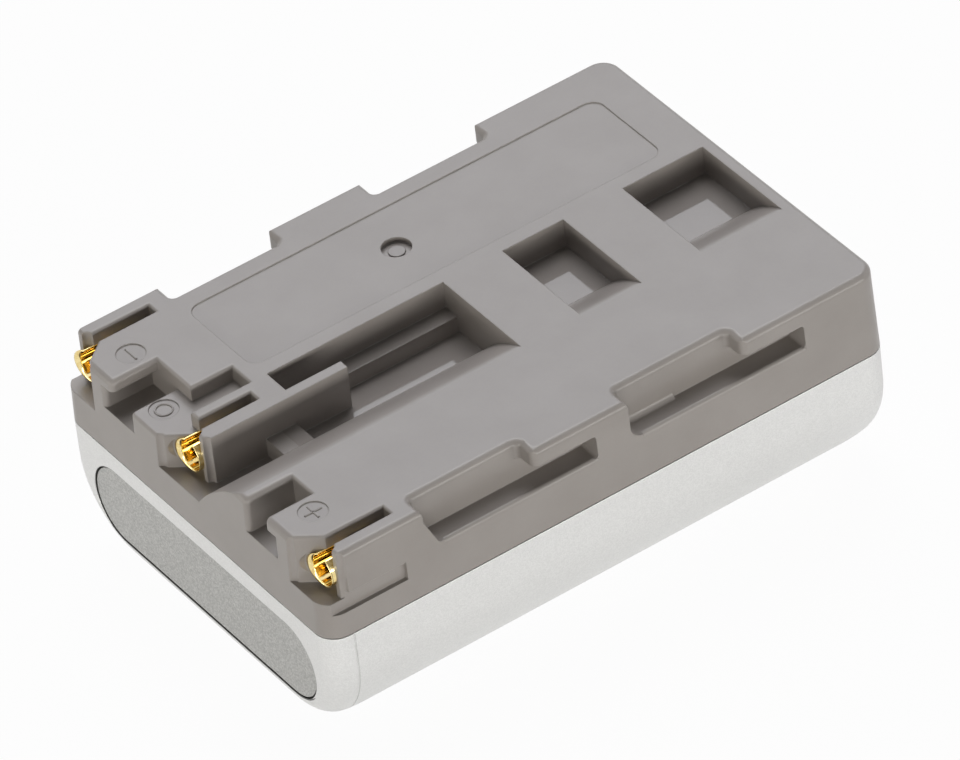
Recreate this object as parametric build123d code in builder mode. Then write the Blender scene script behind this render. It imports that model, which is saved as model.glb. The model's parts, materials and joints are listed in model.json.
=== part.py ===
from build123d import *
import os
from math import cos, hypot, radians, sin, sqrt, tan

os.makedirs("parts", exist_ok=True)

# Slide-on two-cell camera battery. X runs along the pack with the contact end at -X, Y runs across it,
# Z is up, and the pack stands on its case with the contact cover on top. All sizes are in millimetres.

# Cells, which set the size of the pack
cell_diameter = 18.0
cell_length = 48.5
cell_gap = 0.1
cell_fit = 0.05
cell_edge_radius = 0.9
button_diameter = 6.0
button_height = 0.6
crimp_radius = 0.7
crimp_from_end = 3.0

# Shells
case_wall = 1.0
case_height = 12.3
cover_plate = 1.3
cover_fit = 0.1
seam_gap = 0.12
corner_radius = 2.0
end_radius = 3.8
inner_end_radius = 1.4
belly_ease = 0.3
cover_draft = 1.8
cover_edge_radius = 0.6
tongue_inset = 0.5
tongue_thickness = 0.4
tongue_height = 1.0
tongue_fit = 0.05

# Room inside at the two ends of the cells
contact_bay = 4.7
far_room = 0.4
tape_thickness = 0.1

# Overall size, worked out from the cells and the walls
width = 2 * (cell_diameter + cell_fit + case_wall) + cell_gap
height = case_wall + tape_thickness + cell_diameter + cover_fit + cover_plate
length = 2 * case_wall + contact_bay + cell_length + far_room
contact_end = -length / 2
far_end = length / 2
cell_radius = cell_diameter / 2
belly_radius = cell_radius - belly_ease
cell_y = (cell_diameter + cell_gap) / 2
cell_z = case_wall + tape_thickness + cell_radius
cell_start = contact_end + case_wall + contact_bay
cell_end = cell_start + cell_length
cover_base = case_height + seam_gap
overrun = 1.0
end_steps = 5

# Plate let into the case's end, and the fine line round the case beside it
panel_length = 32.0
panel_height = 7.5
panel_y = -0.2
panel_top_drop = 1.8
panel_recess = 0.5
panel_sink = 0.12
panel_gap = 0.18
line_reach = 2.4
line_width = 0.12
line_depth = 0.06

# Hook slots along both sides of the cover
side_slot_start = 9.5
side_slot_opening = 11.3
side_slot_reach = 17.4
side_slot_pitch = 20.7
side_slot_inset = 2.3
side_slot_depth = 3.85
side_slot_slant = 1.2
side_slot_setback = 0.6
side_slot_round = 0.5
side_slot_foot_round = 1.1
side_slot_end_round = 0.35
side_slot_lip_round = 0.35
side_tab_round = 0.8
side_tab_thickness = 1.65

# Contact slots in the cover and the cut-away front around their mouths
outer_contact_inset = 2.34
data_contact_y = 2.0
slot_width = 1.05
slot_reach = 8.15
slot_depth = 3.7
mouth_depth = 4.7
mouth_reach = 2.3
mouth_side = 1.6
mouth_round = 0.6
mouth_fit = 0.25
wall_tip_reach = 0.3
wall_tip_round = 0.65
wall_tip_outer_round = 0.5

# Soft edges of the cover at the contact end
front_corner_radius = 0.5
block_edge_radius = 0.3
rim_edge_radius = 0.3
front_band = 0.35
rim_band = 9.0
short_edge = 0.2
level_slack = 0.001

# Hook notches and the low middle block at the contact end
notch_reach = 4.8
notch_depth = 3.35
notch_offset = 1.95
notch_undercut = 1.2
notch_width = 2.6
notch_lip = 1.1
block_drop = 1.4
channel_reach = 8.85
channel_near_y = 3.65
channel_width = 2.55
strip_setback = 3.1

# Keyway and pockets over the valley between the cells
keyway_wall_y = -0.15
keyway_reach = 7.5
pad_depth = 2.9
pad_length = 2.95
pocket_far_y = 3.5
pocket_depth = 2.75
long_pocket_depth = 4.15
ledge_width = 1.65
ledge_depth = 2.6
divider_thickness = 0.95
divider_length = 5.4
long_pocket_end = 27.85
mid_pocket_start = 33.8
mid_pocket_length = 6.1
far_pocket_length = 8.15
far_pocket_margin = 1.55

# Curved flank that follows the near cell inside the keyway and the pockets
flank_growth = 4.8
flank_top_inset = 1.55
flank_foot_inset = 6.15

# Small features of the cover
label_length = 41.1
label_width = 9.7
label_start = 10.1
label_near_y = 5.0
label_round = 1.2
label_depth = 0.1
gate_mark_shift = -0.15
gate_mark_y = 9.85
gate_mark_diameter = 2.6
gate_mark_depth = 0.5
gate_nub_diameter = 1.45
gate_nub_height = 0.12
sign_reach = 3.6
sign_offset = 2.05
data_sign_reach = 2.5
data_sign_inset = 1.5
sign_diameter = 2.5
sign_depth = 0.1
side_groove_reach = 8.0
side_groove_width = 1.75
side_groove_base = 2.4
side_groove_depth = 0.5

# Sheet-metal contacts
contact_sheet = 0.15
contact_fit = 0.05
contact_top_drop = 1.1
contact_trough_length = 4.6
flare_half_width = 1.12
flare_shift = 0.13
flare_reach = 0.75
flare_drop = 0.55
flare_tilt = 12.0
flare_turn = 16.0
contact_tail_width = 0.8
contact_tail_reach = 3.0

# Board, its parts and the pieces round the cells
board_thickness = 1.0
board_fit = 0.6
board_base = 2.3
board_top_gap = 0.5
rib_thickness = 1.0
rib_y = 7.0
rib_height = 6.0
rib_base = 4.0
chip_height = 0.9
protection_chip_size = (3.0, 3.0)
switch_chip_size = (4.4, 3.0)
thermistor_size = (2.0, 1.2)
chip_z = 7.5
chip_spacing = 4.6
strip_thickness = 0.15
strip_width = 6.0
strip_overlap = 3.0
card_thickness = 0.2
card_margin = 3.0
ring_thickness = 0.2
ring_hole = 8.0
ring_diameter = 15.0
tab_width = 5.0
tab_foot = 2.5
tape_width = 2.4
tape_length = 36.0


def flank_centre():
    """Centre of the curved flank, from its two ends and its radius."""
    top_y, top_z = -flank_top_y, height
    foot_y, foot_z = -flank_foot_y, height - pocket_depth
    middle_y = (top_y + foot_y) / 2
    middle_z = (top_z + foot_z) / 2
    chord = hypot(foot_y - top_y, foot_z - top_z)
    rise = sqrt(flank_radius**2 - (chord / 2) ** 2)
    across_y = (foot_z - top_z) / chord
    across_z = -(foot_y - top_y) / chord
    return middle_y + rise * across_y, middle_z + rise * across_z


def inset_at(run, radius):
    """How far a rounded end has drawn in at a given run from its end plane."""
    if run >= radius:
        return 0
    return radius - sqrt(radius**2 - (radius - run) ** 2)


def case_section(x, side_inset, base):
    """Cross-section of the case at x: upright sides and round lower corners."""
    with BuildSketch(Plane.YZ.offset(x)) as section:
        with Locations((0, base)):
            Rectangle(width - 2 * side_inset, case_height - base, align=(Align.CENTER, Align.MIN))
        fillet(section.vertices().group_by(Axis.Y)[0], belly_radius - max(side_inset, base))
    return section.sketch


def case_form(inset, low_radius, high_radius):
    """Solid trough of the case with rounded ends, its outside taken in by the given inset."""
    start = contact_end + inset
    corner_runs = []
    floor_runs = []
    for step in range(end_steps + 1):
        corner_runs.append(high_radius * (1 - cos(radians(90 * step / end_steps))))
        floor_runs.append(high_radius + (low_radius - high_radius) * step / end_steps)
    with BuildPart() as form:
        for runs in (corner_runs, floor_runs):
            sections = []
            for run in runs:
                side = inset + inset_at(run, high_radius)
                base = inset + inset_at(run, low_radius)
                sections.append(case_section(start + run, side, base))
            loft(sections)
        mirror(about=Plane.YZ)
        extrude(case_section(start + low_radius, inset, inset), amount=length - 2 * inset - 2 * low_radius)
    return form.part


def pocket_form(start, end, far_y, depth):
    """Space cut over the valley: upright far wall, flat floor and a curved near flank."""
    flank_y, flank_z = flank_centre()
    with BuildPart() as form:
        with BuildSketch(Plane.YZ.offset(start)):
            with Locations((-flank_top_y, height - depth)):
                Rectangle(far_y + flank_top_y, depth + overrun, align=(Align.MIN, Align.MIN))
            with Locations((flank_y, flank_z)):
                Circle(flank_radius, mode=Mode.SUBTRACT)
        extrude(amount=end - start)
    return form.part


def side_opening_form(start, setback, slant, foot_round):
    """Open part of one +Y hook slot, its start wall set back, slanted and rounded at its foot."""
    back_y = width / 2 - side_slot_inset
    floor_z = height - side_slot_depth
    with BuildPart() as form:
        with BuildSketch(Plane.XZ.offset(-back_y)) as opening:
            with BuildLine():
                Polyline(
                    (start + setback, height + overrun),
                    (start + setback, height - 2 * cover_edge_radius),
                    (start + setback + slant, floor_z),
                    (start + side_slot_opening, floor_z),
                    (start + side_slot_opening, height + overrun),
                    close=True,
                )
            make_face()
            fillet(opening.vertices().group_by(Axis.Y)[0].sort_by(Axis.X)[0], foot_round)
        extrude(amount=-side_slot_inset - overrun)
        back_edges = form.faces().sort_by(Axis.Y)[0].edges()
        fillet(back_edges.filter_by(Axis.Z), side_slot_round)
    return form.part


def side_slot_form(start):
    """Part of one hook slot of the +Y side that runs on under its tab."""
    with BuildPart() as form:
        slot_middle = start + side_slot_opening / 2
        with Locations((slot_middle, width / 2 - side_slot_inset, height - side_slot_depth)):
            Box(
                side_slot_reach - side_slot_opening / 2,
                side_slot_inset + overrun,
                side_slot_depth - side_tab_thickness,
                align=(Align.MIN, Align.MIN, Align.MIN),
            )
        fillet(form.faces().sort_by(Axis.X)[-1].edges().filter_by(Axis.Y), side_slot_end_round)
    return form.part


def side_at(level):
    """Half the cover's width at a level, drawn in by its draft."""
    return width / 2 - (level - cover_base) * tan(radians(cover_draft))


def side_relief_form(start, foot):
    """Cuts that round one hook slot's lower lip and the free corner of its tab, on the +Y side."""
    floor_z = height - side_slot_depth
    lip_y = side_at(floor_z)
    tab_x = start + side_slot_opening
    tab_y = side_at(height - side_tab_thickness)
    with BuildPart() as form:
        with BuildSketch(Plane.YZ.offset(start + foot)):
            with Locations((lip_y - side_slot_lip_round, floor_z - side_slot_lip_round)):
                Rectangle(side_slot_lip_round + overrun, side_slot_lip_round, align=(Align.MIN, Align.MIN))
                Circle(side_slot_lip_round, mode=Mode.SUBTRACT)
        extrude(amount=side_slot_reach - foot)
        with BuildSketch(Plane.XY.offset(height - side_tab_thickness)):
            with Locations((tab_x, tab_y - side_tab_round)):
                Rectangle(side_tab_round, side_tab_round + overrun, align=(Align.MIN, Align.MIN))
            with Locations((tab_x + side_tab_round, tab_y - side_tab_round)):
                Circle(side_tab_round, mode=Mode.SUBTRACT)
        extrude(amount=side_tab_thickness + overrun)
    return form.part


def lies_at(edge, level):
    """Whether an edge lies flat at a level."""
    box = edge.bounding_box()
    return abs(box.min.Z - level) < level_slack and abs(box.max.Z - level) < level_slack


def is_front_corner(edge):
    """Whether an edge is an upright corner of the blocks at the contact end."""
    upright = edge.geom_type == GeomType.LINE and abs(edge.tangent_at(0).Z) > 0.99
    at_front = edge.center().X < contact_end + front_band and edge.center().Z > height - mouth_depth
    return upright and at_front and edge.length > short_edge


def is_block_edge(edge):
    """Whether an edge runs round the front of the low middle block."""
    middle = edge.center()
    at_block = middle.X < mouth_x and data_contact_y < middle.Y < block_far_y
    return at_block and lies_at(edge, height - block_drop) and edge.length < 2 * sign_diameter


def is_rim_edge(edge):
    """Whether an edge is a straight edge of the cover's top face at the contact end."""
    straight = edge.geom_type == GeomType.LINE and edge.length > short_edge
    return straight and lies_at(edge, height) and edge.center().X < contact_end + rim_band


def trough_section(plane, half_width, base, top):
    """Closed outline of a sheet-metal trough on a plane whose Y is up: two walls and a round floor."""
    with BuildSketch(plane) as section:
        for inset, mode in ((0, Mode.ADD), (contact_sheet, Mode.SUBTRACT)):
            outer = half_width - inset
            low = base + inset
            with BuildLine():
                ThreePointArc((-outer, low + outer), (0, low), (outer, low + outer))
                Line((outer, low + outer), (outer, top))
                Line((outer, top), (-outer, top))
                Line((-outer, top), (-outer, low + outer))
            make_face(mode=mode)
    return section.sketch


def contact_form(y):
    """One sheet-metal contact: a trough in its slot, a flared mouth and a tail down to the board."""
    base = height - slot_depth
    top = height - contact_top_drop
    middle = (base + top) / 2
    trough_half = slot_width / 2 - contact_fit
    sections = []
    for step in range(end_steps + 1):
        part_way = step / end_steps
        tilt = radians(flare_tilt * part_way)
        turn = radians(flare_turn * part_way)
        plane = Plane(
            origin=(mouth_x - flare_reach * part_way, y + flare_shift * part_way**2, middle),
            x_dir=(-sin(turn), cos(turn), 0),
            z_dir=(cos(tilt) * cos(turn), cos(tilt) * sin(turn), sin(tilt)),
        )
        half = trough_half + (flare_half_width - trough_half) * part_way**2
        drop = flare_drop * part_way**2
        sections.append(trough_section(plane, half, base - drop - middle, top - middle))
    tail_base = board_top - contact_tail_reach
    with BuildPart() as form:
        loft(sections)
        extrude(sections[0], amount=contact_trough_length)
        with Locations((board_back, y, tail_base)):
            Box(
                contact_sheet,
                contact_tail_width,
                base + contact_sheet - tail_base,
                align=(Align.MIN, Align.CENTER, Align.MIN),
            )
    return form.part


def cell_form():
    """One cell lying along X from zero, its positive button at the far end."""
    shoulder = cell_length - button_height
    button_radius = button_diameter / 2
    with BuildPart() as form:
        with BuildSketch():
            with BuildLine():
                Polyline(
                    (0, 0),
                    (0, cell_radius),
                    (shoulder, cell_radius),
                    (shoulder, button_radius),
                    (cell_length, button_radius),
                    (cell_length, 0),
                    close=True,
                )
            make_face()
        revolve(axis=Axis.X)
        rims = form.edges().filter_by(GeomType.CIRCLE).group_by(SortBy.RADIUS)[-1]
        fillet(rims, cell_edge_radius)
        with BuildSketch():
            with Locations((shoulder - crimp_from_end, cell_radius)):
                Circle(crimp_radius)
        revolve(axis=Axis.X, mode=Mode.SUBTRACT)
    return form.part


def tab_form(y):
    """Nickel tab: a plate on a cell's end with a leg bent over to the board."""
    leg_z = card_top + card_thickness
    with BuildPart() as form:
        with Locations((cell_start, y, cell_z - tab_foot)):
            Box(
                strip_thickness,
                tab_width,
                leg_z + strip_thickness - cell_z + tab_foot,
                align=(Align.MAX, Align.CENTER, Align.MIN),
            )
        with Locations((cell_start, y, leg_z)):
            Box(
                cell_start - board_back,
                tab_width,
                strip_thickness,
                align=(Align.MAX, Align.CENTER, Align.MIN),
            )
    return form.part


# Places that several pieces share
flank_radius = cell_radius + flank_growth
flank_top_y = cell_y - flank_top_inset
flank_foot_y = cell_y - flank_foot_inset
board_width = width - 2 * (case_wall + board_fit)
board_front = contact_end + case_wall + (contact_bay - board_thickness) / 4
board_back = board_front + board_thickness
bay_top = height - mouth_depth - case_wall
board_top = bay_top - board_top_gap
card_top = cover_base + card_thickness
mouth_x = contact_end + mouth_reach
tip_x = mouth_x - wall_tip_reach
slot_ys = (width / 2 - outer_contact_inset, data_contact_y, outer_contact_inset - width / 2)

# Case
case_outside = case_form(0, end_radius, corner_radius)
case_inside = case_form(case_wall, inner_end_radius, corner_radius - case_wall)
case_line = case_form(line_depth, end_radius - line_depth, corner_radius - line_depth)
panel_z = case_height - panel_top_drop - panel_height / 2
tongue_inner = tongue_inset + tongue_thickness

with BuildPart() as end_line:
    add(case_outside)
    add(case_line, mode=Mode.SUBTRACT)
    with Locations((contact_end + line_reach, 0, case_height / 2)):
        Box(line_width, width + overrun, case_height + overrun, mode=Mode.INTERSECT)

with BuildPart() as lower_case:
    add(case_outside)
    add(case_inside, mode=Mode.SUBTRACT)
    add(end_line.part, mode=Mode.SUBTRACT)
    with BuildSketch(Plane.XY.offset(case_height)):
        RectangleRounded(length - 2 * tongue_inset, width - 2 * tongue_inset, corner_radius - tongue_inset)
        RectangleRounded(
            length - 2 * tongue_inner,
            width - 2 * tongue_inner,
            corner_radius - tongue_inner,
            mode=Mode.SUBTRACT,
        )
    extrude(amount=tongue_height)
    with BuildSketch(Plane.YZ.offset(contact_end)):
        with Locations((panel_y, panel_z)):
            SlotOverall(panel_length, panel_height)
    extrude(amount=panel_recess, mode=Mode.SUBTRACT)
    with Locations(
        (contact_end + case_wall, rib_y, rib_base),
        (contact_end + case_wall, -rib_y, rib_base),
    ):
        Box(
            board_front - contact_end - case_wall,
            rib_thickness,
            rib_height,
            align=(Align.MIN, Align.CENTER, Align.MIN),
        )
lower_case.part.label = "lower_case"
export_step(lower_case.part, "parts/lower_case.step")

with BuildPart() as end_panel:
    with BuildSketch(Plane.YZ.offset(contact_end + panel_sink)):
        with Locations((panel_y, panel_z)):
            SlotOverall(panel_length - 2 * panel_gap, panel_height - 2 * panel_gap)
    extrude(amount=panel_recess - panel_sink)
end_panel.part.label = "end_panel"
export_step(end_panel.part, "parts/end_panel.step")

# Cover
riser_x = contact_end + keyway_reach
long_start = riser_x + pad_length
long_end = contact_end + long_pocket_end
mid_start = contact_end + mid_pocket_start
far_pocket_close = far_end - far_pocket_margin
notch_edge_y = cell_y + notch_offset
block_far_y = notch_edge_y - notch_width
first_slot_start = contact_end + side_slot_start
second_slot_start = first_slot_start + side_slot_pitch

keyway_space = pocket_form(contact_end - overrun, riser_x, keyway_wall_y, mouth_depth)
pad_space = pocket_form(riser_x, long_start, keyway_wall_y, pad_depth)
valley_space = pocket_form(long_start, long_end, pocket_far_y - ledge_width, long_pocket_depth)
mid_pocket = pocket_form(mid_start, mid_start + mid_pocket_length, pocket_far_y, pocket_depth)
far_pocket = pocket_form(far_pocket_close - far_pocket_length, far_pocket_close, pocket_far_y, pocket_depth)

with BuildPart() as long_pocket:
    add(valley_space)
    with Locations((long_start, pocket_far_y, height - ledge_depth)):
        Box(
            long_end - long_start,
            ledge_width,
            ledge_depth + overrun,
            align=(Align.MIN, Align.MAX, Align.MIN),
        )
    with Locations((long_start, keyway_wall_y, height)):
        Box(
            divider_length,
            divider_thickness,
            2 * height,
            align=(Align.MIN, Align.MIN, Align.CENTER),
            mode=Mode.SUBTRACT,
        )

with BuildPart() as side_openings:
    add(side_opening_form(first_slot_start, side_slot_setback, side_slot_slant, side_slot_round))
    add(side_opening_form(second_slot_start, 0, 0, side_slot_foot_round))
    mirror(about=Plane.XZ)

with BuildPart() as side_slots:
    add(side_slot_form(first_slot_start))
    add(side_slot_form(second_slot_start))
    mirror(about=Plane.XZ)

with BuildPart() as side_reliefs:
    add(side_relief_form(first_slot_start, side_slot_setback + side_slot_slant + side_slot_round))
    add(side_relief_form(second_slot_start, side_slot_foot_round))
    mirror(about=Plane.XZ)

with BuildPart() as top_cover:
    with BuildSketch(Plane.XY.offset(cover_base)):
        RectangleRounded(length, width, corner_radius)
    extrude(amount=height - cover_base, taper=cover_draft)
    add(side_openings.part, mode=Mode.SUBTRACT)
    fillet(top_cover.faces().sort_by(Axis.Z)[-1].edges(), cover_edge_radius)
    add(side_slots.part, mode=Mode.SUBTRACT)
    add(side_reliefs.part, mode=Mode.SUBTRACT)
    # Saddles over the cells, the board's room and the rebate for the case's tongue
    with BuildSketch(Plane.YZ.offset(cell_start - cover_fit)):
        with Locations((cell_y, cell_z), (-cell_y, cell_z)):
            Circle(cell_radius + cover_fit)
    extrude(amount=cell_length + cover_fit + far_room, mode=Mode.SUBTRACT)
    with BuildSketch(Plane.XY.offset(cover_base)):
        RectangleRounded(length - 2 * case_wall, width - 2 * case_wall, corner_radius - case_wall)
        with Locations((contact_end, 0)):
            Rectangle(
                2 * (cell_start - cover_fit - contact_end),
                width,
                mode=Mode.INTERSECT,
            )
    extrude(amount=bay_top - cover_base, mode=Mode.SUBTRACT)
    rebate_outer = tongue_inset - tongue_fit
    rebate_inner = tongue_inner + tongue_fit
    with BuildSketch(Plane.XY.offset(cover_base)):
        RectangleRounded(length - 2 * rebate_outer, width - 2 * rebate_outer, corner_radius - rebate_outer)
        RectangleRounded(
            length - 2 * rebate_inner,
            width - 2 * rebate_inner,
            corner_radius - rebate_inner,
            mode=Mode.SUBTRACT,
        )
    extrude(amount=tongue_height - seam_gap, mode=Mode.SUBTRACT)
    # Keyway and pockets
    add(keyway_space, mode=Mode.SUBTRACT)
    add(pad_space, mode=Mode.SUBTRACT)
    add(long_pocket.part, mode=Mode.SUBTRACT)
    add(mid_pocket, mode=Mode.SUBTRACT)
    add(far_pocket, mode=Mode.SUBTRACT)
    # Contact slots
    with BuildSketch(Plane.XY.offset(height - slot_depth)):
        with Locations([(contact_end, y) for y in slot_ys]):
            Rectangle(2 * slot_reach, slot_width)
    extrude(amount=slot_depth + overrun, mode=Mode.SUBTRACT)
    # Cut-away front around the mouths of the slots, with round corners and round tips on the outer walls
    with BuildSketch(Plane.XY.offset(height - mouth_depth)):
        for y, side, wall_y in (
            (slot_ys[0], -1, side_at(height - slot_depth)),
            (slot_ys[1], 1, keyway_wall_y),
            (slot_ys[2], 1, -side_at(height - slot_depth)),
        ):
            throat_y = y + side * slot_width / 2
            scoop_y = throat_y + side * mouth_side
            corner_y = scoop_y + side * mouth_round
            tip_y = y - side * slot_width / 2
            outside_y = wall_y - side * overrun
            with BuildLine():
                Line((contact_end - overrun, corner_y), (contact_end, corner_y))
                RadiusArc(
                    (contact_end, corner_y),
                    (contact_end + mouth_round, scoop_y),
                    side * mouth_round,
                )
                Polyline(
                    (contact_end + mouth_round, scoop_y),
                    (mouth_x + mouth_fit, throat_y),
                    (tip_x + wall_tip_round, tip_y),
                )
                RadiusArc(
                    (tip_x + wall_tip_round, tip_y),
                    (tip_x, tip_y - side * wall_tip_round),
                    side * wall_tip_round,
                )
                Line((tip_x, tip_y - side * wall_tip_round), (tip_x, wall_y + side * wall_tip_outer_round))
                RadiusArc(
                    (tip_x, wall_y + side * wall_tip_outer_round),
                    (tip_x + wall_tip_outer_round, wall_y),
                    side * wall_tip_outer_round,
                )
                Polyline(
                    (tip_x + wall_tip_outer_round, wall_y),
                    (tip_x + wall_tip_outer_round, outside_y),
                    (contact_end - overrun, outside_y),
                    (contact_end - overrun, corner_y),
                )
            make_face()
    extrude(amount=mouth_depth + overrun, mode=Mode.SUBTRACT)
    # Hook notches with their overhanging lips
    for side in (1, -1):
        notch_middle = side * (notch_edge_y - notch_width / 2)
        with BuildSketch(Plane.XY.offset(height - notch_depth)):
            with Locations((contact_end, notch_middle)):
                Rectangle(2 * notch_reach, notch_width)
        extrude(amount=notch_depth + overrun, mode=Mode.SUBTRACT)
        with BuildSketch(Plane.XY.offset(height - notch_depth)):
            with Locations((contact_end, side * notch_edge_y)):
                Rectangle(2 * notch_reach, 2 * notch_undercut)
        extrude(amount=notch_depth - notch_lip, mode=Mode.SUBTRACT)
    # Low middle block and the channel behind it
    with BuildSketch(Plane.XY.offset(height - block_drop)):
        with Locations((contact_end, channel_near_y)):
            Rectangle(2 * notch_reach, block_far_y - channel_near_y, align=(Align.CENTER, Align.MIN))
            Rectangle(2 * channel_reach, channel_width, align=(Align.CENTER, Align.MIN))
            Rectangle(2 * strip_setback, channel_near_y - data_contact_y, align=(Align.CENTER, Align.MAX))
    extrude(amount=block_drop + overrun, mode=Mode.SUBTRACT)
    # Label field, and the gate mark with the nub that the gate left
    with BuildSketch(Plane.XY.offset(height - label_depth)):
        with Locations((contact_end + label_start + label_length / 2, label_near_y + label_width / 2)):
            RectangleRounded(label_length, label_width, label_round)
    extrude(amount=label_depth + overrun, mode=Mode.SUBTRACT)
    gate_floor = Plane.XY.offset(height - label_depth - gate_mark_depth)
    with BuildSketch(gate_floor):
        with Locations((gate_mark_shift, gate_mark_y)):
            Circle(gate_mark_diameter / 2)
    extrude(amount=gate_mark_depth + overrun, mode=Mode.SUBTRACT)
    with BuildSketch(gate_floor):
        with Locations((gate_mark_shift, gate_mark_y)):
            Circle(gate_nub_diameter / 2)
    extrude(amount=gate_nub_height)
    # Round fields for the signs beside the contacts
    sign_x = contact_end + sign_reach
    sign_y = notch_edge_y + sign_offset
    for sign_place, sign_top in (
        ((sign_x, sign_y), height),
        ((sign_x, -sign_y), height),
        ((contact_end + data_sign_reach, block_far_y - data_sign_inset), height - block_drop),
    ):
        with BuildSketch(Plane.XY.offset(sign_top - sign_depth)):
            with Locations(sign_place):
                Circle(sign_diameter / 2)
        extrude(amount=sign_depth + overrun, mode=Mode.SUBTRACT)
    # Short guide grooves on the sides at the contact end
    with BuildSketch(Plane.YZ.offset(contact_end - overrun)):
        for side in (1, -1):
            with Locations((side * width / 2, case_height + side_groove_base)):
                Rectangle(2 * side_groove_depth, side_groove_width, align=(Align.CENTER, Align.MIN))
    extrude(amount=side_groove_reach + overrun, mode=Mode.SUBTRACT)
    # Openings for the contacts' tails
    with Locations([(board_back - contact_fit, y, height - slot_depth) for y in slot_ys]):
        Box(
            contact_sheet + 2 * contact_fit,
            contact_tail_width + 2 * contact_fit,
            2 * slot_depth,
            align=(Align.MIN, Align.CENTER, Align.CENTER),
            mode=Mode.SUBTRACT,
        )
    # Soft edges of the blocks, the slots and the top face at the contact end
    fillet(top_cover.edges().filter_by(is_front_corner), front_corner_radius)
    fillet(top_cover.edges().filter_by(is_block_edge), block_edge_radius)
    fillet(top_cover.edges().filter_by(is_rim_edge), rim_edge_radius)
top_cover.part.label = "top_cover"
export_step(top_cover.part, "parts/top_cover.step")

# Contacts
for contact_name, contact_y in zip(("contact_minus", "contact_data", "contact_plus"), slot_ys):
    with BuildPart() as contact:
        add(contact_form(contact_y))
    contact.part.label = contact_name
    export_step(contact.part, f"parts/{contact_name}.step")

# Cells with their insulating rings; the cells lie head to tail
for cell_name, ring_name, side, start, turn in (
    ("cell_a", "ring_a", 1, cell_start, 0),
    ("cell_b", "ring_b", -1, cell_end, 180),
):
    cell_place = Location((start, side * cell_y, cell_z), (0, 0, turn))
    with BuildPart() as cell:
        add(cell_form().moved(cell_place))
    cell.part.label = cell_name
    export_step(cell.part, f"parts/{cell_name}.step")
    with BuildPart() as ring:
        with BuildSketch(Plane.YZ.offset(start + side * (cell_length - button_height))):
            with Locations((side * cell_y, cell_z)):
                Circle(ring_diameter / 2)
                Circle(ring_hole / 2, mode=Mode.SUBTRACT)
        extrude(amount=side * ring_thickness)
    ring.part.label = ring_name
    export_step(ring.part, f"parts/{ring_name}.step")

# Strip that joins the cells at the far end, and its card
with BuildPart() as series_strip:
    with Locations((cell_end, 0, case_height)):
        Box(
            strip_thickness,
            2 * cell_y + 2 * strip_overlap,
            strip_width,
            align=(Align.MIN, Align.CENTER, Align.MAX),
        )
series_strip.part.label = "series_strip"
export_step(series_strip.part, "parts/series_strip.step")

with BuildPart() as far_card:
    with Locations((cell_end + strip_thickness, 0, case_height)):
        Box(
            card_thickness,
            2 * cell_y + 2 * strip_overlap + card_margin,
            strip_width + card_margin,
            align=(Align.MIN, Align.CENTER, Align.MAX),
        )
far_card.part.label = "far_card"
export_step(far_card.part, "parts/far_card.step")

# Tabs at the contact end and the card over them
for tab_name, side in (("negative_tab", 1), ("positive_tab", -1)):
    with BuildPart() as tab:
        add(tab_form(side * cell_y))
    tab.part.label = tab_name
    export_step(tab.part, f"parts/{tab_name}.step")

with BuildPart() as near_card:
    with BuildSketch(Plane.YZ.offset(cell_start - strip_thickness - card_thickness)) as card_outline:
        with Locations((0, card_margin)):
            Rectangle(
                2 * cell_y + cell_diameter - 2 * card_margin,
                card_top - card_margin,
                align=(Align.CENTER, Align.MIN),
            )
        fillet(card_outline.vertices().group_by(Axis.Y)[0], card_margin)
    extrude(amount=card_thickness)
near_card.part.label = "near_card"
export_step(near_card.part, "parts/near_card.step")

# Board and its parts
with BuildPart() as circuit_board:
    with BuildSketch(Plane.YZ.offset(board_front)) as board_outline:
        with Locations((0, board_base)):
            Rectangle(board_width, board_top - board_base, align=(Align.CENTER, Align.MIN))
        fillet(board_outline.vertices().group_by(Axis.Y)[0], belly_radius - case_wall - board_fit)
    extrude(amount=board_thickness)
circuit_board.part.label = "circuit_board"
export_step(circuit_board.part, "parts/circuit_board.step")

for chip_name, chip_size, place in (
    ("protection_chip", protection_chip_size, 0),
    ("switch_chip", switch_chip_size, -1),
    ("thermistor", thermistor_size, 1),
):
    with BuildPart() as chip:
        with Locations((board_back, place * chip_spacing, chip_z)):
            Box(chip_height, chip_size[0], chip_size[1], align=(Align.MIN, Align.CENTER, Align.CENTER))
    chip.part.label = chip_name
    export_step(chip.part, f"parts/{chip_name}.step")

# Tapes under the cells
for tape_name, side in (("tape_a", 1), ("tape_b", -1)):
    with BuildPart() as tape:
        with Locations(((cell_start + cell_end) / 2, side * cell_y, case_wall)):
            Box(tape_length, tape_width, tape_thickness, align=(Align.CENTER, Align.CENTER, Align.MIN))
    tape.part.label = tape_name
    export_step(tape.part, f"parts/{tape_name}.step")
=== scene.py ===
"""Looks of the slide-on camera battery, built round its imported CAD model. All sizes are in metres."""
import json
from math import cos, pi, radians, sin

import bmesh
import bpy
from mathutils import Matrix, Vector

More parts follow.
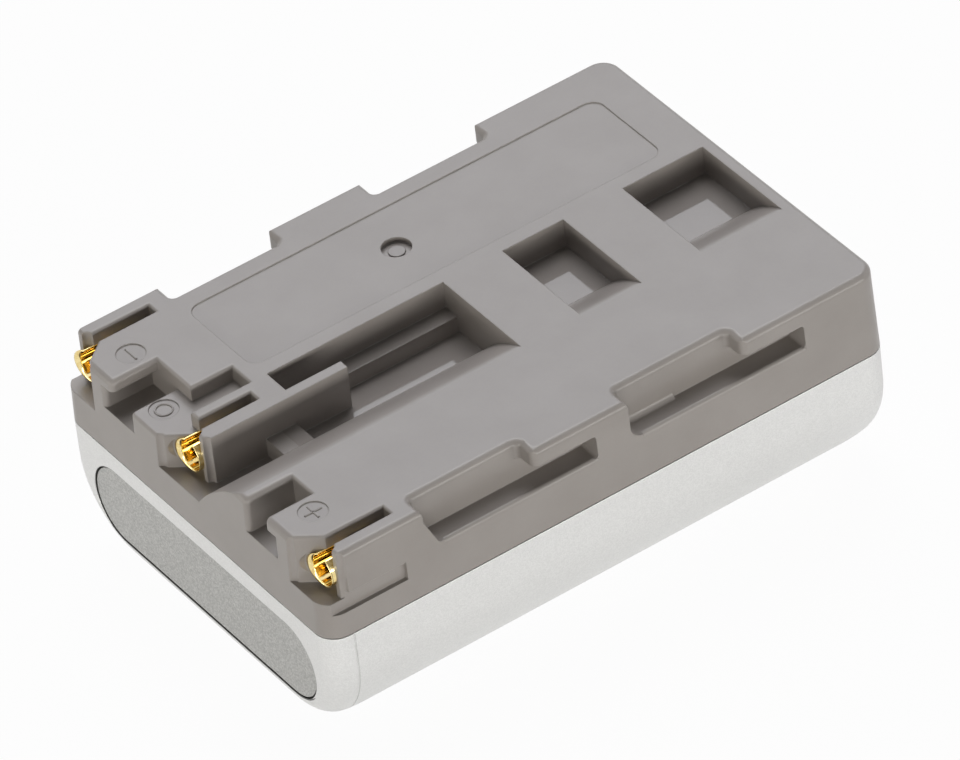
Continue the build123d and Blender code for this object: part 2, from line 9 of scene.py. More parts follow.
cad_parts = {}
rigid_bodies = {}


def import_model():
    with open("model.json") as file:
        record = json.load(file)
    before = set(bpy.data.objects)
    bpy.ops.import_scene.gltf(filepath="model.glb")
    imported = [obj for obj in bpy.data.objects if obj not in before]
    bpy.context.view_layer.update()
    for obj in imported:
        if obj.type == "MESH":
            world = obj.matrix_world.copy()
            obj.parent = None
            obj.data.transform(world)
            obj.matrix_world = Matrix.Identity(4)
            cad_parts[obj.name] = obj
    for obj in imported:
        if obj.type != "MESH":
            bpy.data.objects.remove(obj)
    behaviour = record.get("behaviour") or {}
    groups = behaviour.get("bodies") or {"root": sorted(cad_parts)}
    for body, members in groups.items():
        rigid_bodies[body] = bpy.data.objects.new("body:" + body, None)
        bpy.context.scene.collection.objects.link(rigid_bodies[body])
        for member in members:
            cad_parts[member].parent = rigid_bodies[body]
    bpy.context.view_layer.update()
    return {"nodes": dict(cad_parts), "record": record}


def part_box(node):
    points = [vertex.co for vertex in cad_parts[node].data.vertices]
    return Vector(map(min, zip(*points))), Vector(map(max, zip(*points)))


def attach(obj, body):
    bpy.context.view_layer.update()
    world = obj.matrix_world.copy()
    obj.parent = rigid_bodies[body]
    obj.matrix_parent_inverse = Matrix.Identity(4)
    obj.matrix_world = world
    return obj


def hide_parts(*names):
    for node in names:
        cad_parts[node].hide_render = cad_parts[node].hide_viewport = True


for start_object in list(bpy.data.objects):
    bpy.data.objects.remove(start_object)
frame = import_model()
nodes = frame["nodes"]

MM = 0.001

# Places read from the frame
cover_low, cover_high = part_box("top_cover")
case_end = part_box("lower_case")[0].x
cover_top = cover_high.z
contact_end = cover_low.x
half_width = cover_high.y

# Camera of the photograph, taken to be 960 by 760 pixels
IMAGE_WIDTH = 960
FOCAL_PIXELS = 10110.6
SENSOR = 36.0
CAMERA_PLACE = Vector((-0.32499, -0.54563, 0.53597))
CAMERA_AZIMUTH = radians(-30.8041)
CAMERA_ELEVATION = radians(39.5081)
CAMERA_ROLL = radians(-7.0017)


# Node helpers

EDGE_SAMPLES = 6


def new_material(name):
    """A material with its tree, its Principled shader and the piece's own coordinates."""
    material = bpy.data.materials.new(name)
    material.use_nodes = True
    tree = material.node_tree
    shader = tree.nodes["Principled BSDF"]
    place = tree.nodes.new("ShaderNodeTexCoord").outputs["Object"]
    return material, tree, shader, place


def noise(tree, place, size, detail=2.0):
    """Noise whose features are about the given size."""
    node = tree.nodes.new("ShaderNodeTexNoise")
    node.inputs["Scale"].default_value = 1 / size
    node.inputs["Detail"].default_value = detail
    tree.links.new(place, node.inputs["Vector"])
    return node.outputs["Fac"]


def flakes(tree, place, size):
    """A random grey for each cell of a fine cell pattern."""
    node = tree.nodes.new("ShaderNodeTexVoronoi")
    node.inputs["Scale"].default_value = 1 / size
    tree.links.new(place, node.inputs["Vector"])
    split = tree.nodes.new("ShaderNodeSeparateColor")
    tree.links.new(node.outputs["Color"], split.inputs["Color"])
    return split.outputs["Red"]


def ramp(tree, value, stops):
    """Colours along a value from 0 to 1."""
    node = tree.nodes.new("ShaderNodeValToRGB")
    elements = node.color_ramp.elements
    while len(elements) < len(stops):
        elements.new(1.0)
    for element, (position, colour) in zip(elements, stops):
        element.position = position
        element.color = (*colour, 1.0)
    tree.links.new(value, node.inputs["Fac"])
    return node.outputs["Color"]


def span(tree, value, low, high, from_low=0.0, from_high=1.0):
    """A value carried from one range to another."""
    node = tree.nodes.new("ShaderNodeMapRange")
    node.inputs["From Min"].default_value = from_low
    node.inputs["From Max"].default_value = from_high
    node.inputs["To Min"].default_value = low
    node.inputs["To Max"].default_value = high
    tree.links.new(value, node.inputs["Value"])
    return node.outputs["Result"]


def math(tree, operation, first, second):
    """One Math node; either operand may be a number."""
    node = tree.nodes.new("ShaderNodeMath")
    node.operation = operation
    for socket, operand in zip(node.inputs, (first, second)):
        if isinstance(operand, (int, float)):
            socket.default_value = operand
        else:
            tree.links.new(operand, socket)
    return node.outputs["Value"]


def weighted(tree, first, second, share):
    """A share of one value with the rest of another."""
    main = math(tree, "MULTIPLY", first, share)
    rest = math(tree, "MULTIPLY", second, 1 - share)
    return math(tree, "ADD", main, rest)


def between(tree, value, low, high):
    """1 where a value lies between two limits, otherwise 0."""
    above = math(tree, "GREATER_THAN", value, low)
    below = math(tree, "LESS_THAN", value, high)
    return math(tree, "MULTIPLY", above, below)


def blend(tree, share, colour, other):
    """A colour carried towards a fixed one by a share from 0 to 1."""
    node = tree.nodes.new("ShaderNodeMix")
    node.data_type = "RGBA"
    factor, first, second = node.inputs[0], node.inputs[6], node.inputs[7]
    second.default_value = (*other, 1.0)
    tree.links.new(share, factor)
    tree.links.new(colour, first)
    return node.outputs[2]


def axes(tree, place):
    """The three coordinates of a place."""
    node = tree.nodes.new("ShaderNodeSeparateXYZ")
    tree.links.new(place, node.inputs["Vector"])
    return node.outputs["X"], node.outputs["Y"], node.outputs["Z"]


def soft_edges(tree, radius):
    """Normals that round every edge a little."""
    node = tree.nodes.new("ShaderNodeBevel")
    node.samples = EDGE_SAMPLES
    node.inputs["Radius"].default_value = radius
    return node.outputs["Normal"]


def bump(tree, height, distance, strength, normal=None):
    """Fine relief on top of other normals."""
    node = tree.nodes.new("ShaderNodeBump")
    node.inputs["Distance"].default_value = distance
    node.inputs["Strength"].default_value = strength
    tree.links.new(height, node.inputs["Height"])
    if normal is not None:
        tree.links.new(normal, node.inputs["Normal"])
    return node.outputs["Normal"]


# Materials

COVER_DARK = (0.318, 0.292, 0.272)
COVER_LIGHT = (0.352, 0.325, 0.306)
COVER_WORN = (0.44, 0.41, 0.385)
COVER_GRAIN = 0.2 * MM
COVER_CLOUD = 5 * MM
COVER_CLOUD_SHARE = 0.85
COVER_EDGE = 0.14 * MM
COVER_ROUGHNESS = (0.27, 0.31)
COVER_POLISH = 0.23
COVER_RELIEF = 0.001 * MM
COVER_RELIEF_STRENGTH = 0.15
COVER_IOR = 1.5


def cover_plastic():
    """Warm taupe moulding: fine-grained outside, paler along its edges, polished on its pocket floors."""
    material, tree, shader, place = new_material("cover_taupe")
    grain = noise(tree, place, COVER_GRAIN, 1.0)
    cloud = noise(tree, place, COVER_CLOUD, 3.0)
    tone = weighted(tree, cloud, grain, COVER_CLOUD_SHARE)
    colour = ramp(tree, tone, ((0.3, COVER_DARK), (0.7, COVER_LIGHT)))
    rounded = soft_edges(tree, COVER_EDGE)
    worn = edge_wear(tree, rounded, grain)
    tree.links.new(blend(tree, worn, colour, COVER_WORN), shader.inputs["Base Color"])
    polished = pocket_floors(tree, place)
    outside = span(tree, grain, *COVER_ROUGHNESS)
    drop = math(tree, "MULTIPLY", polished, COVER_POLISH)
    tree.links.new(math(tree, "SUBTRACT", outside, drop), shader.inputs["Roughness"])
    relief = math(tree, "MULTIPLY", grain, math(tree, "SUBTRACT", 1.0, polished))
    normal = bump(tree, relief, COVER_RELIEF, COVER_RELIEF_STRENGTH, rounded)
    tree.links.new(normal, shader.inputs["Normal"])
    shader.inputs["IOR"].default_value = COVER_IOR
    return material


VALLEY_Y = (-7.0 * MM, 3.6 * MM)
POCKET_FLOOR_TOP = cover_top - 2.4 * MM
POCKET_START_X = contact_end + 9 * MM
LEVEL_LEAST = 0.95


def pocket_floors(tree, place):
    """1 on the level floors of the pockets over the valley, otherwise 0."""
    x, y, z = axes(tree, place)
    facing = tree.nodes.new("ShaderNodeNewGeometry").outputs["Normal"]
    level = math(tree, "GREATER_THAN", axes(tree, facing)[2], LEVEL_LEAST)
    in_valley = between(tree, y, *VALLEY_Y)
    sunk = math(tree, "LESS_THAN", z, POCKET_FLOOR_TOP)
    behind_front = math(tree, "GREATER_THAN", x, POCKET_START_X)
    inside = math(tree, "MULTIPLY", in_valley, sunk)
    return math(tree, "MULTIPLY", math(tree, "MULTIPLY", inside, behind_front), level)


WEAR_MOST = 0.7
WEAR_TURN = (0.75, 0.99)
WEAR_GRAIN = (0.6, 1.0)


def edge_wear(tree, rounded, grain):
    """Grows from 0 on flats to WEAR_MOST on sharp edges, broken up by the grain."""
    turned = tree.nodes.new("ShaderNodeVectorMath")
    turned.operation = "DOT_PRODUCT"
    true_normal = tree.nodes.new("ShaderNodeNewGeometry").outputs["Normal"]
    tree.links.new(rounded, turned.inputs[0])
    tree.links.new(true_normal, turned.inputs[1])
    edge = span(tree, turned.outputs["Value"], WEAR_MOST, 0.0, *WEAR_TURN)
    return math(tree, "MULTIPLY", edge, span(tree, grain, *WEAR_GRAIN))


CASE_DARK = (0.70, 0.70, 0.69)
CASE_LIGHT = (0.80, 0.80, 0.79)
CASE_FLAKE = 0.09 * MM
CASE_FINE = 0.3 * MM
CASE_FLAKE_SHARE = 0.65
CASE_ROUGHNESS = (0.34, 0.5)
CASE_METALLIC = 0.55
CASE_RELIEF = 0.004 * MM
CASE_RELIEF_STRENGTH = 0.2
CASE_EDGE = 0.12 * MM
# Painted shade: the dark colour given to the walls of the recess round the end panel
RECESS_PAINTED_SHADE = (0.1, 0.1, 0.095)


def case_paint():
    """Light silver paint with fine metal flakes, with painted shade on the walls of the recess round the end
    panel.
    """
    material, tree, shader, place = new_material("case_silver")
    flake = flakes(tree, place, CASE_FLAKE)
    fine = noise(tree, place, CASE_FINE)
    tone = weighted(tree, flake, fine, CASE_FLAKE_SHARE)
    colour = ramp(tree, tone, ((0.1, CASE_DARK), (0.85, CASE_LIGHT)))
    # Painted shade: the recess walls round the end panel are darkened to the colour of their shadow
    shaded = blend(tree, panel_recess_shade(tree, place), colour, RECESS_PAINTED_SHADE)
    tree.links.new(shaded, shader.inputs["Base Color"])
    tree.links.new(span(tree, flake, *CASE_ROUGHNESS), shader.inputs["Roughness"])
    shader.inputs["Metallic"].default_value = CASE_METALLIC
    normal = bump(tree, tone, CASE_RELIEF, CASE_RELIEF_STRENGTH, soft_edges(tree, CASE_EDGE))
    tree.links.new(normal, shader.inputs["Normal"])
    return material


# Where the painted shade of the panel's recess lies
RECESS_FRONT_X = case_end + 0.06 * MM
RECESS_BACK_X = case_end + 0.9 * MM
RECESS_MIDDLE_Y = -0.2 * MM
RECESS_MIDDLE_Z = 6.75 * MM
RECESS_STRAIGHT_HALF = 12.25 * MM
RECESS_RADIUS = 3.9 * MM


def panel_recess_shade(tree, place):
    """1 on the walls of the round-ended recess that holds the end panel, where shade is painted into the
    silver, otherwise 0.
    """
    x, y, z = axes(tree, place)
    sunk = between(tree, x, RECESS_FRONT_X, RECESS_BACK_X)
    along = math(tree, "ABSOLUTE", math(tree, "SUBTRACT", y, RECESS_MIDDLE_Y), 0.0)
    past_straight = math(tree, "MAXIMUM", math(tree, "SUBTRACT", along, RECESS_STRAIGHT_HALF), 0.0)
    up = math(tree, "SUBTRACT", z, RECESS_MIDDLE_Z)
    squares = math(tree, "ADD", math(tree, "POWER", past_straight, 2.0), math(tree, "MULTIPLY", up, up))
    inside = math(tree, "LESS_THAN", squares, RECESS_RADIUS ** 2)
    return math(tree, "MULTIPLY", sunk, inside)


PANEL_DARK = (0.34, 0.34, 0.33)
PANEL_LIGHT = (0.57, 0.57, 0.555)
PANEL_FLAKE = 0.13 * MM
PANEL_FINE = 0.25 * MM
PANEL_FLAKE_SHARE = 0.7
PANEL_ROUGHNESS = (0.38, 0.55)
PANEL_METALLIC = 0.35
PANEL_RELIEF = 0.01 * MM
PANEL_RELIEF_STRENGTH = 0.5
PANEL_EDGE = 0.08 * MM


def panel_paint():
    """Mid-grey plate with a coarser sparkle."""
    material, tree, shader, place = new_material("panel_grey")
    flake = flakes(tree, place, PANEL_FLAKE)
    fine = noise(tree, place, PANEL_FINE)
    tone = weighted(tree, flake, fine, PANEL_FLAKE_SHARE)
    colour = ramp(tree, tone, ((0.1, PANEL_DARK), (0.9, PANEL_LIGHT)))
    tree.links.new(colour, shader.inputs["Base Color"])
    tree.links.new(span(tree, flake, *PANEL_ROUGHNESS), shader.inputs["Roughness"])
    shader.inputs["Metallic"].default_value = PANEL_METALLIC
    normal = bump(tree, tone, PANEL_RELIEF, PANEL_RELIEF_STRENGTH, soft_edges(tree, PANEL_EDGE))
    tree.links.new(normal, shader.inputs["Normal"])
    return material


GOLD_DARK = (0.80, 0.60, 0.23)
GOLD_LIGHT = (0.95, 0.79, 0.40)
GOLD_STRETCH = (0.04, 1.0, 1.0)
GOLD_LINES = 0.3 * MM
GOLD_ROUGHNESS = (0.1, 0.04)
GOLD_RELIEF = 0.001 * MM
GOLD_RELIEF_STRENGTH = 0.1


def gold_plate():
    """Polished gold plating with faint lines along X, the way the sheet is drawn."""
    material, tree, shader, place = new_material("contact_gold")
    drawn = tree.nodes.new("ShaderNodeMapping")
    drawn.inputs["Scale"].default_value = GOLD_STRETCH
    tree.links.new(place, drawn.inputs["Vector"])
    lines = noise(tree, drawn.outputs["Vector"], GOLD_LINES)
    colour = ramp(tree, lines, ((0.35, GOLD_DARK), (0.65, GOLD_LIGHT)))
    tree.links.new(colour, shader.inputs["Base Color"])
    tree.links.new(span(tree, lines, *GOLD_ROUGHNESS), shader.inputs["Roughness"])
    shader.inputs["Metallic"].default_value = 1.0
    tree.links.new(bump(tree, lines, GOLD_RELIEF, GOLD_RELIEF_STRENGTH), shader.inputs["Normal"])
    return material


INNER_DETAIL = 3.0
INNER_ROUGHNESS_SPREAD = 0.08
INNER_RELIEF = 0.01 * MM
INNER_RELIEF_STRENGTH = 0.3


def inner_material(name, dark, light, size, roughness, metallic=0.0):
    """A piece inside the pack: a mottled colour with a fine relief."""
    material, tree, shader, place = new_material(name)
    mottle = noise(tree, place, size, INNER_DETAIL)
    tree.links.new(ramp(tree, mottle, ((0.3, dark), (0.7, light))), shader.inputs["Base Color"])
    smoothest = roughness - INNER_ROUGHNESS_SPREAD
    roughest = roughness + INNER_ROUGHNESS_SPREAD
    tree.links.new(span(tree, mottle, smoothest, roughest), shader.inputs["Roughness"])
    shader.inputs["Metallic"].default_value = metallic
    normal = bump(tree, mottle, INNER_RELIEF, INNER_RELIEF_STRENGTH)
    tree.links.new(normal, shader.inputs["Normal"])
    return material


materials = {
    "cover_taupe": cover_plastic(),
    "case_silver": case_paint(),
    "panel_grey": panel_paint(),
    "contact_gold": gold_plate(),
    "cell_sleeve": inner_material("cell_sleeve", (0.02, 0.10, 0.25), (0.03, 0.13, 0.31), 2 * MM, 0.3),
    "insulation": inner_material("insulation", (0.62, 0.59, 0.48), (0.72, 0.70, 0.60), 0.5 * MM, 0.7),
    "nickel": inner_material("nickel", (0.50, 0.49, 0.46), (0.62, 0.61, 0.58), 0.4 * MM, 0.28, 1.0),
    "board_green": inner_material("board_green", (0.01, 0.08, 0.03), (0.015, 0.12, 0.045), 0.6 * MM, 0.35),
    "chip_black": inner_material("chip_black", (0.012, 0.012, 0.013), (0.025, 0.025, 0.027), 0.2 * MM, 0.55),
    "tape_white": inner_material("tape_white", (0.66, 0.66, 0.63), (0.76, 0.76, 0.74), 0.3 * MM, 0.85),
}
for subpart in frame["record"]["subparts"]:
    piece = nodes[subpart["node"]]
    piece.data.materials.clear()
    piece.data.materials.append(materials[subpart["material_slot"]])


# Signs moulded in the round fields beside the contacts

SIGN_DEPTH = 0.1 * MM
SIGN_LINE = 0.24 * MM
SIGN_RISE = 0.09 * MM
SIGN_SINK = 0.02 * MM
SIGN_STEPS = 40
BAR_HALF = 0.85 * MM
INNER_RING = 0.72 * MM
SIGN_X = contact_end + 3.6 * MM
SIGN_Y = 13.05 * MM
DATA_SIGN_X = contact_end + 2.5 * MM
DATA_SIGN_Y = 6.9 * MM
LOW_BLOCK_DROP = 1.4 * MM


def raised_ring(mesh, radius):
    """A raised ring with slanted sides."""
    half = SIGN_LINE / 2
    rows = ((-half, -SIGN_SINK), (-half / 2, SIGN_RISE), (half / 2, SIGN_RISE), (half, -SIGN_SINK))
    loops = []
    for step in range(SIGN_STEPS):
        turn = 2 * pi * step / SIGN_STEPS
        loop = []
        for out, rise in rows:
            loop.append(mesh.verts.new(((radius + out) * cos(turn), (radius + out) * sin(turn), rise)))
        loops.append(loop)
    for one, two in zip(loops, loops[1:] + loops[:1]):
        for row in range(len(rows)):
            after = (row + 1) % len(rows)
            mesh.faces.new((one[row], one[after], two[after], two[row]))


def raised_bar(mesh, half_x, half_y):
    """A raised bar with slanted sides."""
    slant = SIGN_LINE / 4
    low = []
    high = []
    for sign_x, sign_y in ((-1, -1), (1, -1), (1, 1), (-1, 1)):
        low.append(mesh.verts.new((sign_x * half_x, sign_y * half_y, -SIGN_SINK)))
        high.append(mesh.verts.new((sign_x * (half_x - slant), sign_y * (half_y - slant), SIGN_RISE)))
    mesh.faces.new(high)
    mesh.faces.new(low[::-1])
    for side in range(len(low)):
        after = (side + 1) % len(low)
        mesh.faces.new((low[side], low[after], high[after], high[side]))


def add_moulding(name, place, mesh):
    """A small raised form of the cover's own plastic."""
    bmesh.ops.recalc_face_normals(mesh, faces=mesh.faces)
    data = bpy.data.meshes.new(name)
    mesh.to_mesh(data)
    mesh.free()
    data.materials.append(materials["cover_taupe"])
    piece = bpy.data.objects.new(name, data)
    piece.location = place
    bpy.context.scene.collection.objects.link(piece)
    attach(piece, "root")


def add_signs():
    """A minus, a plus and a plain ring, each standing in its field."""
    floor_z = cover_top - SIGN_DEPTH
    minus = bmesh.new()
    raised_bar(minus, SIGN_LINE / 2, BAR_HALF)
    add_moulding("sign_minus", (SIGN_X, SIGN_Y, floor_z), minus)
    plus = bmesh.new()
    raised_bar(plus, SIGN_LINE / 2, BAR_HALF)
    raised_bar(plus, BAR_HALF, SIGN_LINE / 2)
    add_moulding("sign_plus", (SIGN_X, -SIGN_Y, floor_z), plus)
    ring = bmesh.new()
    raised_ring(ring, INNER_RING)
    add_moulding("sign_data", (DATA_SIGN_X, DATA_SIGN_Y, floor_z - LOW_BLOCK_DROP), ring)


add_signs()


# Contacts with barrel mouths, and the cover with their seats, in the places of the plain ones

OUTER_CONTACT_Y = half_width - 2.34 * MM
CONTACT_PLACES = {
    "contact_minus": OUTER_CONTACT_Y,
    "contact_data": 2.0 * MM,
    "contact_plus": -OUTER_CONTACT_Y,
}
SHEET = 0.12 * MM
TROUGH_END_X = contact_end + 6.9 * MM
BARREL_END_X = contact_end + 4.6 * MM
RIM_X = contact_end + 1.7 * MM
TROUGH_TOP = cover_top - 1.1 * MM
TROUGH_BASE = cover_top - 3.55 * MM
TROUGH_HALF = 0.34 * MM
RIM_TOP = cover_top - 1.3 * MM
RIM_BASE = cover_top - 4.13 * MM
RIM_HALF = 1.3 * MM
SEAT_FIT = 0.1 * MM
SEAT_FRONT_X = contact_end - 0.5 * MM
SINK_X = contact_end + 1.3 * MM
SINK_HALF = 2.0 * MM
FLANGE_OUT = 0.5 * MM
FLANGE_FORWARD = 0.32 * MM
FLANGE_LEAST = 0.2
FLANGE_TAPER = 1.5
FLANGE_STEPS = 5
ARC_STEPS = 48
LEAN = 1.15
MERGE_DISTANCE = 0.0005 * MM
SHARP_TURN = radians(24)
TAIL_X = contact_end + 3.0 * MM
TAIL_HALF = 0.4 * MM
TAIL_BASE = 11.3 * MM


def add_piece(name, mesh, slot, stands_for):
    """A new piece on the root body that stands for one CAD node."""
    mesh.materials.append(materials[slot])
    piece = bpy.data.objects.new(name, mesh)
    bpy.context.scene.collection.objects.link(piece)
    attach(piece, "root")
    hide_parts(stands_for)
    return piece


def seat_cutter(y):
    """A closed round bar along X that clears a contact's barrel, wider in front for its lip."""
    seat_half = RIM_HALF + SEAT_FIT
    tall = (RIM_TOP - RIM_BASE) / 2 + SEAT_FIT
    middle_z = (RIM_TOP + RIM_BASE) / 2
    places = (
        (SEAT_FRONT_X, SINK_HALF),
        (SINK_X, SINK_HALF),
        (RIM_X + SEAT_FIT, seat_half),
        (BARREL_END_X + SEAT_FIT, seat_half),
    )
    bar = bmesh.new()
    loops = []
    for x, half in places:
        loop = []
        for step in range(ARC_STEPS):
            turn = 2 * pi * step / ARC_STEPS
            loop.append(bar.verts.new((x, y + half * cos(turn), middle_z + tall * sin(turn))))
        loops.append(loop)
    bar.faces.new(loops[0])
    bar.faces.new(loops[-1])
    for one, two in zip(loops, loops[1:]):
        for step in range(ARC_STEPS):
            after = (step + 1) % ARC_STEPS
            bar.faces.new((one[step], one[after], two[after], two[step]))
    bmesh.ops.recalc_face_normals(bar, faces=bar.faces)
    data = bpy.data.meshes.new("seat_cutter")
    bar.to_mesh(data)
    bar.free()
    cutter = bpy.data.objects.new("seat_cutter", data)
    bpy.context.scene.collection.objects.link(cutter)
    return cutter


def seated_cover():
    """The cover's own form with a round seat for each contact."""
    plain = nodes["top_cover"]
    form = bmesh.new()
    form.from_mesh(plain.data)
    form.transform(plain.matrix_world)
    bmesh.ops.remove_doubles(form, verts=form.verts, dist=MERGE_DISTANCE)
    form.verts.index_update()
    corners = [vertex.co.copy() for vertex in form.verts]
    faces = [[vertex.index for vertex in face.verts] for face in form.faces]
    form.free()
    data = bpy.data.meshes.new("top_cover_seated")
    data.from_pydata(corners, [], faces)
    blank = bpy.data.objects.new("cover_blank", data)
    bpy.context.scene.collection.objects.link(blank)
    cutters = [seat_cutter(y) for y in CONTACT_PLACES.values()]
    for cutter in cutters:
        cut = blank.modifiers.new("seat", "BOOLEAN")
        cut.operation = "DIFFERENCE"
        cut.solver = "EXACT"
        cut.object = cutter
    cut_blank = blank.evaluated_get(bpy.context.evaluated_depsgraph_get())
    seated = bpy.data.meshes.new_from_object(cut_blank)
    for helper in [blank, *cutters]:
        bpy.data.objects.remove(helper)
    seated.shade_smooth()
    seated.set_sharp_from_angle(angle=SHARP_TURN)
    seated.materials.clear()
    piece = add_piece("top_cover_seated", seated, "cover_taupe", "top_cover")
    flats = piece.modifiers.new("flats", "WEIGHTED_NORMAL")
    flats.keep_sharp = True


def trough_row(x, half, base, top, closing):
    """Points of a trough at x, from its +Y edge round to its -Y edge; closing curls its edges inwards."""
    centre = (base + top) / 2
    points = []
    for step in range(ARC_STEPS + 1):
        turn = (pi + 2 * LEAN) * step / ARC_STEPS - LEAN
        side = 1 if step < ARC_STEPS / 2 else -1
        if sin(turn) < 0:
            across = half * (1 - closing * (1 - abs(cos(turn)))) * side
            points.append(Vector((x, across, centre - (top - centre) * sin(turn) / sin(LEAN))))
        else:
            points.append(Vector((x, half * cos(turn), centre - (centre - base) * sin(turn))))
    return points


def rolled_row(rim, share):
    """The rim rolled outwards by a share of the lip, which is widest on the +Y side."""
    centre = (RIM_BASE + RIM_TOP) / 2
    row = []
    for point in rim:
        width = FLANGE_LEAST + (1 - FLANGE_LEAST) * max(point.y / RIM_HALF, 0) ** FLANGE_TAPER
        outward = Vector((0, point.y, min(point.z - centre, 0))).normalized()
        forward = Vector((-FLANGE_FORWARD * sin(share * pi / 2), 0, 0))
        row.append(point + (outward * FLANGE_OUT * (1 - cos(share * pi / 2)) + forward) * width)
    return row


def contact_rows():
    """Rows of points along the contact: its trough, its barrel with an end wall, and its rolled lip."""
    rows = [
        trough_row(TROUGH_END_X, TROUGH_HALF, TROUGH_BASE, TROUGH_TOP, closing=0),
        trough_row(BARREL_END_X, TROUGH_HALF, TROUGH_BASE, TROUGH_TOP, closing=0),
        trough_row(BARREL_END_X - SHEET, RIM_HALF, RIM_BASE, RIM_TOP, closing=1),
    ]
    rim = trough_row(RIM_X, RIM_HALF, RIM_BASE, RIM_TOP, closing=1)
    rows.append(rim)
    for step in range(1, FLANGE_STEPS + 1):
        rows.append(rolled_row(rim, step / FLANGE_STEPS))
    return rows


def add_contact(node, y):
    """One contact: a sheet drawn through the rows, with a tail down to the board."""
    mesh = bmesh.new()
    rows = [[mesh.verts.new(point + Vector((0, y, 0))) for point in row] for row in contact_rows()]
    for one, two in zip(rows, rows[1:]):
        for place in range(len(one) - 1):
            mesh.faces.new((one[place], one[place + 1], two[place + 1], two[place])).smooth = True
    tail = []
    for side, z in ((-1, TAIL_BASE), (1, TAIL_BASE), (1, RIM_BASE), (-1, RIM_BASE)):
        tail.append(mesh.verts.new((TAIL_X, y + side * TAIL_HALF, z)))
    mesh.faces.new(tail)
    bmesh.ops.recalc_face_normals(mesh, faces=mesh.faces)
    data = bpy.data.meshes.new(node + "_sheet")
    mesh.to_mesh(data)
    mesh.free()
    data.set_sharp_from_angle(angle=SHARP_TURN)
    piece = add_piece(node + "_sheet", data, "contact_gold", node)
    sheet = piece.modifiers.new("sheet", "SOLIDIFY")
    sheet.thickness = SHEET
    sheet.offset = 0.0


seated_cover()
for contact_node, contact_y in CONTACT_PLACES.items():
    add_contact(contact_node, contact_y)


# Floor, light and camera

FLOOR_HALF = 3.0
FLOOR_COLOUR = (0.86, 0.86, 0.86, 1)
FLOOR_ROUGHNESS = 0.9
FLOOR_WHITE = 0.96
FLOOR_MIRRORED = 0.8
SURROUND = 0.02


def seen_share(tree, straight, mirrored):
    """One share for what the camera sees straight, one for gloss and glass, and 0 for other rays."""
    ray = tree.nodes.new("ShaderNodeLightPath")
    gloss = math(tree, "MAXIMUM", ray.outputs["Is Glossy Ray"], ray.outputs["Is Transmission Ray"])
    in_gloss = math(tree, "MULTIPLY", gloss, mirrored)
    in_sight = math(tree, "MULTIPLY", ray.outputs["Is Camera Ray"], straight)
    return math(tree, "MAXIMUM", in_sight, in_gloss)


def floor():
    """A plain white floor that keeps a pale trace of the shadow."""
    corners = [(x * FLOOR_HALF, y * FLOOR_HALF, 0) for x, y in ((-1, -1), (1, -1), (1, 1), (-1, 1))]
    data = bpy.data.meshes.new("floor")
    data.from_pydata(corners, [], [(0, 1, 2, 3)])
    piece = bpy.data.objects.new("floor", data)
    bpy.context.scene.collection.objects.link(piece)
    material = bpy.data.materials.new("floor")
    material.use_nodes = True
    tree = material.node_tree
    shader = tree.nodes["Principled BSDF"]
    shader.inputs["Base Color"].default_value = FLOOR_COLOUR
    shader.inputs["Roughness"].default_value = FLOOR_ROUGHNESS
    shader.inputs["Specular IOR Level"].default_value = 0.0
    white = tree.nodes.new("ShaderNodeEmission")
    share = tree.nodes.new("ShaderNodeMixShader")
    tree.links.new(seen_share(tree, FLOOR_WHITE, FLOOR_MIRRORED), share.inputs[0])
    tree.links.new(shader.outputs["BSDF"], share.inputs[1])
    tree.links.new(white.outputs["Emission"], share.inputs[2])
    tree.links.new(share.outputs["Shader"], tree.nodes["Material Output"].inputs["Surface"])
    data.materials.append(material)


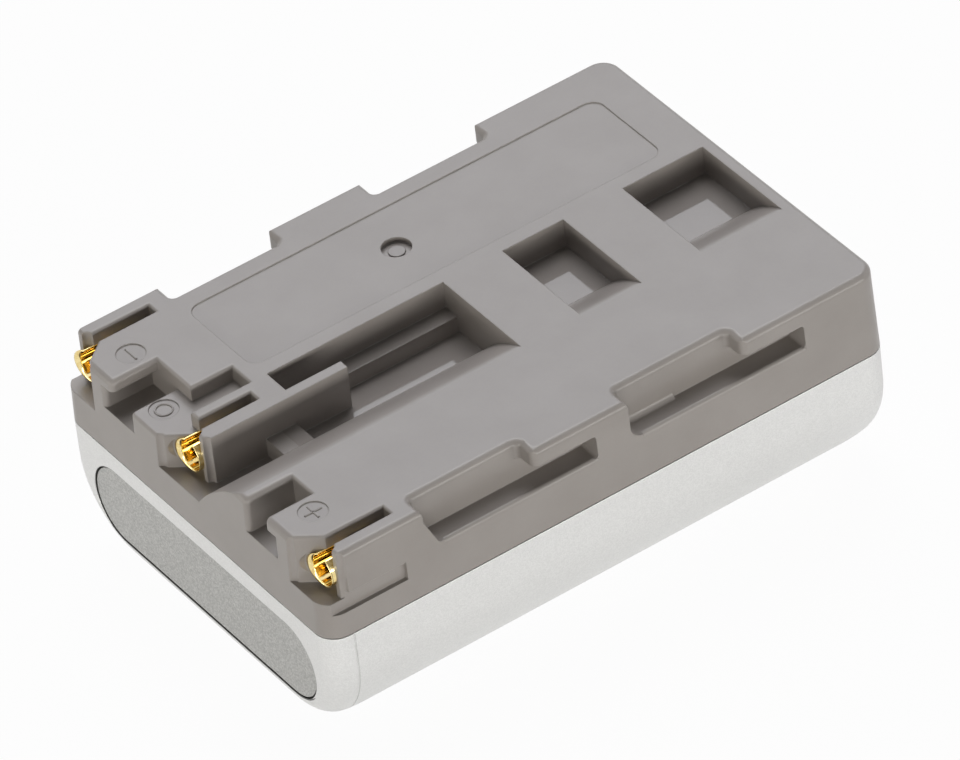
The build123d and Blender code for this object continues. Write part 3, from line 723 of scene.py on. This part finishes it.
def world():
    """A dim even surround that reads white where it is seen or mirrored."""
    scene_world = bpy.data.worlds.new("studio")
    bpy.context.scene.world = scene_world
    scene_world.use_nodes = True
    tree = scene_world.node_tree
    background = tree.nodes["Background"]
    background.inputs["Color"].default_value = (1, 1, 1, 1)
    strength = span(tree, seen_share(tree, 1.0, 1.0), SURROUND, 1.0)
    tree.links.new(strength, background.inputs["Strength"])


def softbox(name, place, target, wide, tall, radiance, colour):
    """A rectangular area lamp that looks at a point, with its brightness given per area."""
    data = bpy.data.lights.new(name, "AREA")
    data.shape = "RECTANGLE"
    data.size = wide
    data.size_y = tall
    data.energy = radiance * pi * wide * tall
    data.color = colour
    lamp = bpy.data.objects.new(name, data)
    lamp.location = place
    lamp.rotation_mode = "QUATERNION"
    lamp.rotation_quaternion = (Vector(target) - Vector(place)).to_track_quat("-Z", "Y")
    bpy.context.scene.collection.objects.link(lamp)


def camera():
    """The photograph's camera: its place, direction, roll and focal length."""
    level = cos(CAMERA_ELEVATION)
    back = Vector((sin(CAMERA_AZIMUTH) * level, -cos(CAMERA_AZIMUTH) * level, sin(CAMERA_ELEVATION)))
    right = (-back).cross(Vector((0, 0, 1))).normalized()
    down = (-back).cross(right)
    rolled_right = right * cos(CAMERA_ROLL) - down * sin(CAMERA_ROLL)
    rolled_down = right * sin(CAMERA_ROLL) + down * cos(CAMERA_ROLL)
    data = bpy.data.cameras.new("camera")
    data.sensor_width = SENSOR
    data.lens = FOCAL_PIXELS * SENSOR / IMAGE_WIDTH
    holder = bpy.data.objects.new("camera", data)
    turn = Matrix((rolled_right, -rolled_down, back)).transposed().to_4x4()
    holder.matrix_world = Matrix.Translation(CAMERA_PLACE) @ turn
    bpy.context.scene.collection.objects.link(holder)
    bpy.context.scene.camera = holder


floor()
world()
middle = (0, 0, 10 * MM)
softbox("softbox_back", (0.42, 0.70, 0.66), middle, 0.9, 0.6, 2.0, (0.93, 0.94, 1.0))
softbox("softbox_high", (0.2, 0.35, 0.9), middle, 0.6, 0.5, 4.4, (0.98, 0.98, 1.0))
softbox("softbox_front", (0.0, -0.9, 0.09), middle, 1.4, 0.16, 7.8, (1.0, 0.985, 0.95))
softbox("softbox_left", (-0.9, 0.0, 0.09), middle, 1.4, 0.16, 5.4, (1.0, 0.97, 0.9))
camera()
bpy.context.scene.view_settings.view_transform = "Standard"
